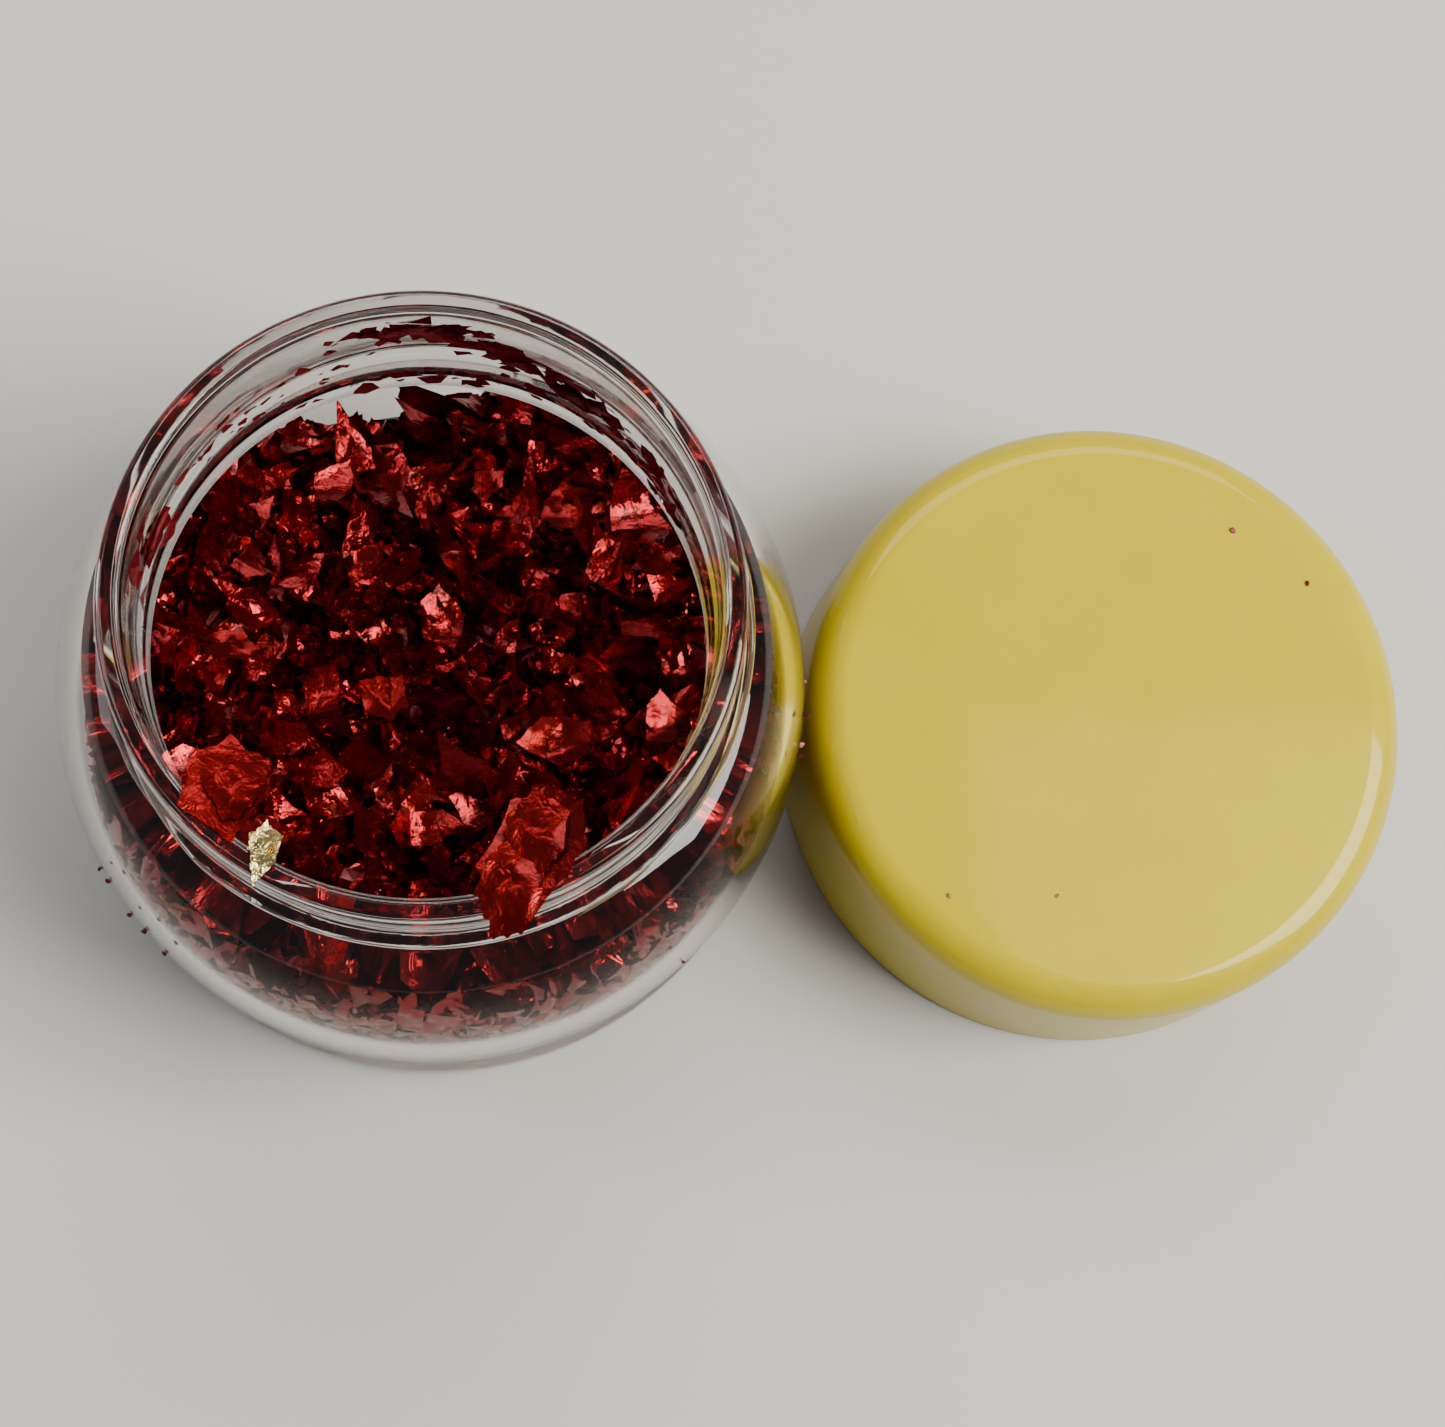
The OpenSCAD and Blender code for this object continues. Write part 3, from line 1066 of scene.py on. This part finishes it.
@dataclass
class FoilHeap:
    """The heap of small flakes: a core in deep tones, painted shade for the gaps, under strewn flakes. Sizes in
    millimetres.
    """

    jar: Jar
    top_z: float = 15.0
    slope: float = math.tan(math.radians(14))
    gap: float = 0.45
    fold: float = 0.4
    drop: float = 1.2
    lump: float = 1.8
    lump_rate: float = 0.16
    bit: float = 1.3
    bit_rate: float = 0.55
    hollow: float = 4.6
    hollow_x: float = -2.6
    hollow_y: float = 14.6
    hollow_spread: float = 22.0
    floor_gap: float = 0.1
    glass_gap: float = 0.08
    rings: int = 30
    spokes: int = 96
    side_rings: int = 24
    seed: int = 5

    def height(self, x: float, y: float) -> float:
        """Height of the heap's uneven top.

        Args:
            x, y: a place in plan.

        Returns:
            The height.
        """
        lumps = noise.noise(Vector((x * self.lump_rate, y * self.lump_rate, 3.1))) * self.lump
        bits = noise.noise(Vector((x * self.bit_rate, y * self.bit_rate, 7.7))) * self.bit
        away = (x - self.hollow_x) ** 2 + (y - self.hollow_y) ** 2
        return (self.top_z - self.drop - self.slope * y + lumps + bits
                - self.hollow * math.exp(-away / self.hollow_spread))

    def core(self) -> bpy.types.Object:
        """Makes the closed core that the flakes lie on.

        Returns:
            The core.
        """
        low_z = self.jar.floor_t + self.floor_gap
        angles = [math.tau * i / self.spokes for i in range(self.spokes)]
        edges = [(angle, *self.edge(angle)) for angle in angles]
        verts = [Vector((0, 0, self.height(0, 0) * MM))]
        for k in range(1, self.rings + 1):
            share = k / self.rings
            for angle, reach, _ in edges:
                x, y = reach * share * math.cos(angle), reach * share * math.sin(angle)
                verts.append(Vector((x, y, self.height(x, y))) * MM)
        for k in range(1, self.side_rings + 1):
            for angle, _, edge_z in edges:
                z = edge_z + (low_z - edge_z) * k / self.side_rings
                radius = self.jar.inner_r(z) - self.gap
                verts.append(Vector((radius * math.cos(angle), radius * math.sin(angle), z)) * MM)
        verts.append(Vector((0, 0, low_z * MM)))
        last, n = len(verts) - 1, self.spokes
        faces: list[tuple[int, ...]] = []
        for i in range(n):
            j = (i + 1) % n
            faces.append((0, 1 + i, 1 + j))
            for k in range(self.rings + self.side_rings - 1):
                near, far = 1 + k * n, 1 + (k + 1) * n
                faces.append((near + i, far + i, far + j, near + j))
            faces.append((last, last - n + j, last - n + i))
        made = mesh_object("foil_heap_core", verts, faces)
        set_tone(made, 0.4)
        return made

    def edge(self, angle: float) -> tuple[float, float]:
        """Finds where the heap's top meets the glass.

        Args:
            angle: direction from the jar's axis.

        Returns:
            Its radius and its height.
        """
        radius = self.jar.cavity_r - self.gap
        z = 0.0
        for _ in range(6):
            z = self.height(radius * math.cos(angle), radius * math.sin(angle))
            radius = self.jar.inner_r(z) - self.gap
        return radius, z

    def strew(self, name: str, surface: bpy.types.Object, tree: ScatterTree, store: bpy.types.Collection,
              foil: bpy.types.Material, **values: float) -> bpy.types.Object:
        """Runs the scatter tree over a surface and keeps its result as a plain mesh.

        Args:
            name: name of the result.
            surface: the mesh that the flakes lie on.
            tree: the scatter tree.
            store: the flake shapes.
            foil: the flakes' material.
            values: the tree's named inputs.

        Returns:
            The strewn flakes.
        """
        strewn = surface.modifiers.new("strew", "NODES")
        strewn.node_group = bpy.data.node_groups[tree.name]
        settings: dict[str, object] = {"Flakes": store, "Foil": foil, **values}
        for label, value in settings.items():
            strewn[tree.sockets[label]] = value
        graph = bpy.context.evaluated_depsgraph_get()
        mesh = bpy.data.meshes.new_from_object(surface.evaluated_get(graph))
        surface.modifiers.remove(strewn)
        mesh.name = name
        made = bpy.data.objects.new(name, mesh)
        bpy.context.scene.collection.objects.link(made)
        self.press_to_glass(mesh)
        return made

    def press_to_glass(self, mesh: bpy.types.Mesh) -> None:
        """Brings every point of the flakes inside the jar's inner wall and above its floor.

        Args:
            mesh: the flakes.
        """
        for vert in mesh.vertices:
            x, y, z = (c / MM for c in vert.co)
            z = max(z, self.jar.floor_t + self.glass_gap)
            radius = math.hypot(x, y)
            limit = self.jar.inner_r(z) - self.glass_gap
            if radius > limit:
                folded = limit - self.fold * (radius - limit)
                x, y = x * folded / radius, y * folded / radius
            vert.co = Vector((x, y, z)) * MM
        mesh.update()

    def build(self, red: bpy.types.Material, shaded_red: bpy.types.Material) -> None:
        """Makes the core and the flakes on its top and against the glass.

        Args:
            red, dark: the flakes' and the core's materials; the core's is the red foil in deeper tones, painted shade
                for the gaps between the flakes.
        """
        store = SmallFlakes().build()
        tree = ScatterTree()
        tree.build()
        core = self.core()
        per_mm2 = 1.0 / (MM * MM)
        loose = self.strew("foil_heap_flakes", core, tree, store, red, Density=0.75 * per_mm2, Seed=self.seed,
                           Smallest=1.0, Largest=2.9, Tilt=0.95, Sink=-0.3 * MM, Rise=0.9 * MM)
        deep = self.strew("foil_heap_under", core, tree, store, red, Density=1.8 * per_mm2, Seed=self.seed + 40,
                          Smallest=0.7, Largest=1.9, Tilt=0.7, Sink=-0.2 * MM, Rise=0.5 * MM)
        # The core's deep red is painted shade in the gaps between the flakes.
        dress(core, shaded_red, Body.JAR, ["foil_heap"])
        dress(loose, red, Body.JAR)
        dress(deep, red, Body.JAR)
        for shape in list(store.objects):
            bpy.data.objects.remove(shape)
        bpy.data.collections.remove(store)


def set_tone(piece: bpy.types.Object, tone: float) -> None:
    """Stores one tone for the whole piece, which its foil reads.

    Args:
        piece: the piece.
        tone: its tone, from 0 to 1.
    """
    layer = piece.data.attributes.new(TONE, "FLOAT", "POINT")
    layer.data.foreach_set("value", [tone] * len(piece.data.vertices))


@dataclass
class LargeFlake:
    """One named flake, built on the plane of its flat CAD plate. Sizes in millimetres."""

    node: str
    seed: int
    tone: float = 0.8
    folds: int = 4
    depth: float = 0.5
    crinkle: float = 0.05
    layers: int = 1
    shortest: float = 0.62
    swell: float = 1.1
    layer_gap: float = 0.16
    slip: float = 0.4
    rings: int = 9
    per_edge: int = 6

    def plane(self) -> tuple[Vector, Vector, Vector, Vector, float, float]:
        """Centre, two in-plane axes, normal and half sizes of the CAD plate.

        Returns:
            Centre in metres, the long axis, the short axis, the normal, and both half sizes in metres.
        """
        points = [v.co.copy() for v in frame["nodes"][self.node].data.vertices]
        centre = sum(points, Vector()) / len(points)
        best = max(frame["nodes"][self.node].data.polygons, key=lambda f: f.area).normal
        normal = best if best.z >= 0 else -best
        flat = [(p - centre) - normal * (p - centre).dot(normal) for p in points]
        along = max(flat, key=lambda s: s.length).normalized()
        across = normal.cross(along).normalized()
        return (centre, along, across, normal,
                max(abs(s.dot(along)) for s in flat), max(abs(s.dot(across)) for s in flat))

    def sheet(self, rng: random.Random, half_long: float, half_short: float) -> list[tuple[float, float, float]]:
        """Points of one torn, folded sheet: its centre, then ring after ring.

        Args:
            rng: source of its unevenness.
            half_long, half_short: its half sizes.

        Returns:
            In-plane place and lift of each point, in millimetres.
        """
        corners = rng.randint(5, 8)
        turns = [math.tau * (i + rng.uniform(-0.32, 0.32)) / corners for i in range(corners)]
        tips = [Vector((math.cos(a), math.sin(a))) * rng.uniform(self.shortest, 1.0) for a in turns]
        rim = [here.lerp(after, k / self.per_edge) * (1 if k == 0 else rng.uniform(0.9, 1.03))
               for here, after in zip(tips, tips[1:] + tips[:1]) for k in range(self.per_edge)]
        creases = [(rng.uniform(0, math.tau), rng.uniform(-0.35, 0.45), rng.uniform(-1, 1) * self.depth)
                   for _ in range(self.folds)]
        curl = (rng.uniform(0, math.tau), rng.uniform(0.1, 0.5) * self.depth)
        shift = Vector((self.seed * 1.7, rng.uniform(0, 9), 0.3))
        reach = min(half_long, half_short)
        made = []
        for share in [0.0] + [(k + 1) / self.rings for k in range(self.rings)]:
            for tip in rim[:1] if share == 0 else rim:
                point = tip * share
                lift = curl[1] * (point.x * math.cos(curl[0]) + point.y * math.sin(curl[0])) ** 2
                for way, offset, slope in creases:
                    lift += slope * max(0.0, point.x * math.cos(way) + point.y * math.sin(way) - offset)
                place = Vector((point.x * half_long, point.y * half_short, 0))
                rough = noise.noise(place * 1.7 + shift) + 0.5 * abs(noise.noise(place * 3.6 + shift))
                made.append((place.x, place.y, lift * reach + rough * self.crinkle))
        middle = sum(p[2] for p in made) / len(made)
        return [(x, y, z - middle) for x, y, z in made]

    def build(self, foil: bpy.types.Material, slot: str) -> bpy.types.Object:
        """Makes the crumpled flake and ties it to the frame.

        Args:
            foil: its material.
            slot: not used.

        Returns:
            The flake.
        """
        rng = random.Random(self.seed)
        centre, along, across, normal, half_long, half_short = self.plane()
        verts: list[Vector] = []
        faces: list[tuple[int, ...]] = []
        for layer in range(self.layers):
            size = self.swell * (1.0 if layer == 0 else rng.uniform(0.55, 0.8))
            slip = Vector((0, 0)) if layer == 0 else Vector([rng.uniform(-self.slip, self.slip) for _ in range(2)])
            start = len(verts)
            sheet = self.sheet(rng, half_long / MM * size, half_short / MM * size)
            n = (len(sheet) - 1) // self.rings
            for x, y, lift in sheet:
                verts.append(centre + along * (x * MM + slip.x * half_long) + across * (y * MM + slip.y * half_short)
                             + normal * (lift + self.layer_gap * layer) * MM)
            faces += [(start, start + 1 + i, start + 1 + (i + 1) % n) for i in range(n)]
            for k in range(self.rings - 1):
                near, far = start + 1 + k * n, start + 1 + (k + 1) * n
                faces += [(near + i, far + i, far + (i + 1) % n, near + (i + 1) % n) for i in range(n)]
        self.keep_clear(verts)
        made = mesh_object(f"{self.node}_foil", verts, faces, smooth=True)
        set_tone(made, self.tone)
        return dress(made, foil, Body.JAR, [self.node])

    @staticmethod
    def keep_clear(verts: Sequence[Vector]) -> None:
        """Holds a flake's points below the frame's top and off the jar's rim and neck.

        Args:
            verts: its points, in metres.
        """
        jar = Jar.from_frame()
        side_gap, rim_gap, top_gap, rim_band = 0.05, 0.04, 0.03, 1.2
        inner = jar.bore_r - side_gap
        for vert in verts:
            vert.z = min(vert.z, CAD_BOX[1].z - top_gap * MM)
            radius = math.hypot(vert.x, vert.y) / MM
            if not inner < radius < jar.root_r + jar.thread_d + side_gap:
                continue
            if vert.z > (jar.height - rim_band) * MM:
                vert.z = max(vert.z, (jar.height + rim_gap) * MM)
            else:
                vert.x, vert.y = vert.x * (inner / radius), vert.y * (inner / radius)


@dataclass
class Crumbs:
    """Tiny crumbs that cling to a piece, one on each CAD crumb; main gives them the red foil in deeper tones, as
    painted shade.
    """

    node: str
    body: Body
    seed: int
    corners: int = 6
    half_thick: float = 0.03 * MM
    apart: float = 0.6 * MM

    def build(self, foil: bpy.types.Material) -> bpy.types.Object:
        """Makes a flat, tilted scrap on each crumb.

        Args:
            foil: their material.

        Returns:
            The crumbs, as one piece.
        """
        rng = random.Random(self.seed)
        verts: list[Vector] = []
        faces: list[tuple[int, ...]] = []
        for centre, size in self.places():
            start = len(verts)
            turn = Euler((rng.uniform(-0.5, 0.5), rng.uniform(-0.5, 0.5), rng.uniform(0, math.tau))).to_matrix()
            corners = self.corners
            ring = [Vector((math.cos(math.tau * i / corners), 0.7 * math.sin(math.tau * i / corners), 0))
                    * size * rng.uniform(0.6, 1.1) for i in range(corners)]
            thick = Vector((0, 0, self.half_thick))
            verts += [centre + turn @ (p + thick) for p in ring] + [centre + turn @ (p - thick) for p in ring]
            faces.append(tuple(start + i for i in range(corners)))
            faces.append(tuple(start + corners + i for i in reversed(range(corners))))
            faces += [(start + corners + i, start + corners + (i + 1) % corners, start + (i + 1) % corners, start + i)
                      for i in range(corners)]
        made = mesh_object(f"{self.node}_foil", verts, faces)
        set_tone(made, 0.1)
        return dress(made, foil, self.body, [self.node])

    def places(self) -> list[tuple[Vector, float]]:
        """Finds each CAD crumb from its own loose points.

        Returns:
            Centre and half size of each crumb, in metres.
        """
        found: list[list[Vector]] = []
        for vert in frame["nodes"][self.node].data.vertices:
            near = next((g for g in found if (g[0] - vert.co).length < self.apart), None)
            if near is None:
                found.append([vert.co.copy()])
            else:
                near.append(vert.co.copy())
        made = []
        for group in found:
            centre = sum(group, Vector()) / len(group)
            made.append((centre, max((p - centre).length for p in group)))
        return made


@dataclass(frozen=True)
class ScrapGroup:
    """Where a group of scraps clings: angle and height on the neck's wall, spread, number and largest size."""

    angle: float
    height: float
    wide: float
    tall: float
    count: int
    largest: float


@dataclass
class NeckScraps:
    """Small scraps of foil that cling to the inside of the neck. Sizes in millimetres."""

    jar: Jar
    groups: tuple[ScrapGroup, ...] = (
        ScrapGroup(92, 28.9, 16, 0.9, 44, 1.1), ScrapGroup(62, 26.2, 16, 1.6, 44, 1.15),
        ScrapGroup(40, 25.4, 12, 1.6, 16, 0.8), ScrapGroup(128, 26.0, 20, 1.8, 26, 0.6),
        ScrapGroup(165, 26.4, 12, 2.2, 18, 1.2), ScrapGroup(80, 23.4, 70, 0.9, 60, 0.8),
        ScrapGroup(250, 25.0, 60, 2.6, 22, 0.5), ScrapGroup(0, 25.0, 40, 2.4, 16, 0.6))
    seed: int = 31

    def build(self, foil: bpy.types.Material) -> bpy.types.Object:
        """Makes every scrap, each bent to the wall.

        Args:
            foil: their material.

        Returns:
            The scraps, as one piece.
        """
        rng = random.Random(self.seed)
        verts: list[Vector] = []
        faces: list[tuple[int, ...]] = []
        highest, lowest = self.jar.height - 0.7, self.jar.cavity_top - 0.4
        for group in self.groups:
            for _ in range(group.count):
                angle = math.radians(rng.gauss(group.angle, group.wide / 2))
                height = min(highest, max(lowest, rng.gauss(group.height, group.tall / 2)))
                self.scrap(rng, angle, height, rng.uniform(0.25, 1.0) ** 1.5 * group.largest, verts, faces)
        made = mesh_object("neck_scraps", verts, faces, smooth=False)
        set_tone(made, 0.6)
        return dress(made, foil, Body.JAR)

    def scrap(self, rng: random.Random, angle: float, height: float, size: float, verts: list[Vector],
              faces: list[tuple[int, ...]]) -> None:
        """Adds one torn scrap with one corner or more lifted off the wall.

        Args:
            rng: source of its unevenness.
            angle, height: its place on the wall.
            size: its largest half size.
            verts, faces: lists that it is added to.
        """
        corners = rng.choice((4, 5, 6, 7))
        start = len(verts)
        spin = rng.uniform(0, math.tau)
        verts.append(self.on_wall(angle, height, 0.08))
        for i in range(corners):
            way = spin + math.tau * (i + rng.uniform(-0.3, 0.3)) / corners
            reach = size * rng.uniform(0.45, 1.0)
            around = reach * math.cos(way) * 1.3 / self.jar.bore_r
            verts.append(self.on_wall(angle + around, height + reach * 0.8 * math.sin(way),
                                      rng.uniform(0.05, 0.05 + 0.35 * size)))
        faces += [(start, start + 1 + i, start + 1 + (i + 1) % corners) for i in range(corners)]

    def on_wall(self, angle: float, height: float, off: float) -> Vector:
        """Point at a distance off the inner wall.

        Args:
            angle, height: its place on the wall.
            off: the distance.

        Returns:
            The point, in metres.
        """
        radius = self.jar.inner_r(height) - off
        return Vector((radius * math.cos(angle), radius * math.sin(angle), height)) * MM


# ---------------------------------------------------------------- studio


@dataclass
class Studio:
    """Pale floor, soft lights and the camera."""

    look_from: Vector = field(default_factory=lambda: Vector((3.548, -24.266, 128.330)) * MM)
    azimuth: float = 23.23
    elevation: float = 77.60
    roll: float = 23.72
    lens: float = 61.94
    sensor: float = 36.0

    def camera(self) -> None:
        """Sets the camera that looks down on the jar from its near side."""
        turn, rise = math.radians(self.azimuth), math.radians(self.elevation)
        ahead = Vector((math.sin(turn) * math.cos(rise), math.cos(turn) * math.cos(rise), -math.sin(rise)))
        level = ahead.cross(Vector((0, 0, 1))).normalized()
        upward = level.cross(ahead)
        tilt = math.radians(self.roll)
        right = level * math.cos(tilt) + upward * math.sin(tilt)
        up = right.cross(ahead)
        data = bpy.data.cameras.new("camera")
        data.lens = self.lens
        data.sensor_width = self.sensor
        data.clip_start = 0.005
        made = bpy.data.objects.new("camera", data)
        made.matrix_world = Matrix.Translation(self.look_from) @ Matrix((right, up, -ahead)).transposed().to_4x4()
        bpy.context.scene.collection.objects.link(made)
        bpy.context.scene.camera = made

    def area(self, name: str, place: Colour, aim: Colour, size: tuple[float, float], power: float,
             colour: Colour) -> None:
        """Adds one soft rectangular light.

        Args:
            name: its name.
            place, aim: where it is and what it points at, in metres.
            size: its width and height, in metres.
            power: its power, in watts.
            colour: its colour.
        """
        data = bpy.data.lights.new(name, "AREA")
        data.shape = "RECTANGLE"
        data.size, data.size_y = size
        data.energy = power
        data.color = colour
        made = bpy.data.objects.new(name, data)
        made.location = place
        made.rotation_euler = (Vector(aim) - Vector(place)).to_track_quat("-Z", "Y").to_euler()
        bpy.context.scene.collection.objects.link(made)

    def lights(self) -> None:
        """Sets a window on the right, a weaker one on the left, and a dim room."""
        middle = (0.015, 0.0, 0.01)
        self.area("window_right", (0.34, -0.06, 0.36), middle, (0.26, 0.32), 4.0, (1.0, 0.98, 0.94))
        self.area("window_left", (-0.36, 0.05, 0.26), middle, (0.16, 0.36), 0.5, (0.95, 0.97, 1.0))
        self.area("strip_left", (-0.22, 0.06, 0.10), middle, (0.03, 0.12), 0.12, (1.0, 1.0, 1.0))
        self.area("panel_above", (0.27, -0.02, 0.50), (0.27, -0.02, 0.0), (0.30, 0.24), 0.9, (1.0, 0.95, 0.45))
        self.area("room_back", (0.05, 0.36, 0.40), middle, (0.50, 0.20), 1.6, (1.0, 0.98, 0.95))
        world = bpy.data.worlds.new("room")
        world.use_nodes = True
        world.node_tree.nodes["Background"].inputs["Color"].default_value = (0.86, 0.87, 0.90, 1.0)
        world.node_tree.nodes["Background"].inputs["Strength"].default_value = 0.23
        bpy.context.scene.world = world

    def floor(self) -> None:
        """Lays the pale floor."""
        half = 0.9
        made = mesh_object("floor", [Vector((x, y, 0)) for x, y in ((-half, -half), (half, -half), (half, half),
                                                                    (-half, half))], [(0, 1, 2, 3)])
        paper = bpy.data.materials.new("pale_floor")
        paper.use_nodes = True
        surface = paper.node_tree.nodes["Principled BSDF"]
        surface.inputs["Base Color"].default_value = (0.50, 0.495, 0.485, 1.0)
        surface.inputs["Roughness"].default_value = 0.75
        made.data.materials.append(paper)


def build_large_flakes(red: bpy.types.Material, sheet: bpy.types.Material, shaded_red: bpy.types.Material,
                       gold: bpy.types.Material) -> None:
    """Makes every named flake: on the rim, on the heap and on the neck's wall.

    Args:
        red, sheet, dark, gold: the foil materials; dark is the red foil in deeper tones, painted shade.
    """
    LargeFlake("rim_flake_left", 21, tone=1.0, depth=0.22, crinkle=0.03, layers=2, shortest=0.85,
               swell=1.2).build(sheet, "red_foil")
    LargeFlake("rim_flake_gold", 22, tone=0.8, depth=0.7, folds=6, crinkle=0.12, layers=2,
               swell=1.3).build(gold, "gold_foil")
    LargeFlake("rim_flake_right", 23, tone=0.5, depth=0.35, folds=6, layers=3, shortest=0.8,
               swell=1.3).build(sheet, "red_foil")
    for name in sorted(frame["nodes"]):
        if name.startswith("pile_flake"):
            number = int(name[-2:])
            LargeFlake(name, number, tone=0.3 + 0.7 * ((number * 7) % 12) / 11, folds=3 + number % 3,
                       swell=0.8 + 0.35 * ((number * 5) % 7) / 6).build(sheet if number % 3 else red, "red_foil")
        # Neck flakes take the red foil in deeper tones: painted shade.
        if name.startswith("neck_flake"):
            LargeFlake(name, 40 + int(name[-2:]), tone=0.5, depth=0.12, crinkle=0.03, rings=4,
                       per_edge=3).build(shaded_red, "dark_foil")


def main() -> None:
    """Builds the object and the studio, in order."""
    logging.basicConfig(level=logging.INFO, format="%(name)s: %(message)s")
    studio = Studio()
    studio.camera()
    studio.lights()
    studio.floor()
    build_wrinkle_group()
    build_moulded_group()
    red, sheet, shaded_red, gold = (finish.make() for finish in (RED_FOIL, RED_SHEET, SHADED_RED_FOIL, GOLD_FOIL))
    jar = Jar.from_frame()
    jar.build(CLEAR_GLASS.make(), NECK_GLASS.make())
    ScrewCap.from_frame().build(YELLOW_CAP.make(), LINER_FOAM.make())
    FoilHeap(jar).build(red, shaded_red)
    build_large_flakes(red, sheet, shaded_red, gold)
    # The neck scraps and the crumbs take the red foil in deeper tones: painted shade.
    NeckScraps(jar).build(shaded_red)
    Crumbs("jar_crumbs", Body.JAR, 3).build(shaded_red)
    Crumbs("cap_crumbs", Body.CAP, 4).build(shaded_red)


if __name__ == "__main__":
    main()
